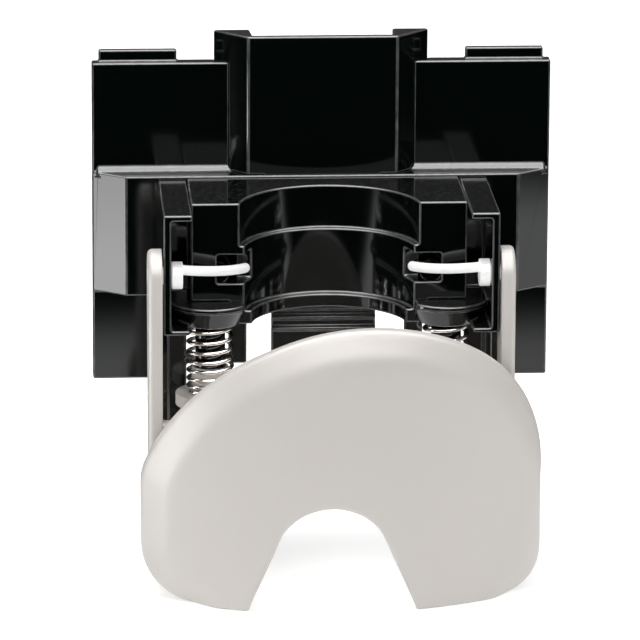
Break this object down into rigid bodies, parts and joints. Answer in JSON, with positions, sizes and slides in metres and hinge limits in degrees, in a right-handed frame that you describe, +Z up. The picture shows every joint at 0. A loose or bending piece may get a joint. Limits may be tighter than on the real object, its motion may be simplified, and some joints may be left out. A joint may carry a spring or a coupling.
{
  "type": "soap dispenser push lever bracket",
  "caption": "Wall bracket with a half-round pump cradle and a sprung push paddle hung on two side arms, for a manual soap dispenser.",
  "frame": {"origin": "centre of the back plate's rear face, half way between its sides", "axes": "+X to the right seen from the front, +Y out of the rear face into the wall, +Z up"},
  "size_m": [0.112, 0.0722, 0.126],
  "materials": {
    "black_gloss": "polished injection moulding, edges slightly rounded",
    "pale_grey": "satin moulding with a fine spark-eroded grain",
    "white_acetal": "smooth self-lubricating plastic",
    "spring_steel": "bright drawn wire",
    "screw_steel": "zinc-plated screws"
  },
  "bodies": {
    "bracket": {"back_plate": "black_gloss", "centre_channel": "black_gloss", "collar_housing": "black_gloss", "centre_tongue": "black_gloss", "left_side_frame": "black_gloss", "right_side_frame": "black_gloss", "housing_screws": "screw_steel", "frame_screws": "screw_steel", "tongue_screws": "screw_steel"},
    "lever": {"push_paddle": "pale_grey", "left_lever_arm": "pale_grey", "right_lever_arm": "pale_grey", "left_lift_pin": "white_acetal", "right_lift_pin": "white_acetal", "paddle_screws": "screw_steel"},
    "left_plunger": {"left_spring_plunger": "pale_grey", "left_return_spring": "spring_steel"},
    "right_plunger": {"right_spring_plunger": "pale_grey", "right_return_spring": "spring_steel"}
  },
  "joints": [
    {"name": "lever_hinge", "type": "hinge", "parent": "bracket", "child": "lever", "pos_m": [0, -0.043, -0.0033], "axis": [1, 0, 0], "range_deg": [0, 15], "stiffness_Nm_per_rad": 0.69, "springref_deg": -9.63},
    {"name": "left_plunger_slide", "type": "slide", "parent": "bracket", "child": "left_plunger", "axis": [0, 0, 1], "range_m": [0, 0.0045], "deforming": ["left_return_spring"]},
    {"name": "right_plunger_slide", "type": "slide", "parent": "bracket", "child": "right_plunger", "axis": [0, 0, 1], "range_m": [0, 0.0045], "deforming": ["right_return_spring"]}
  ],
  "couplings": [
    {"joint": "left_plunger_slide", "follows": "lever_hinge", "m_per_rad": 0.017188},
    {"joint": "right_plunger_slide", "follows": "lever_hinge", "m_per_rad": 0.017188}
  ]
}
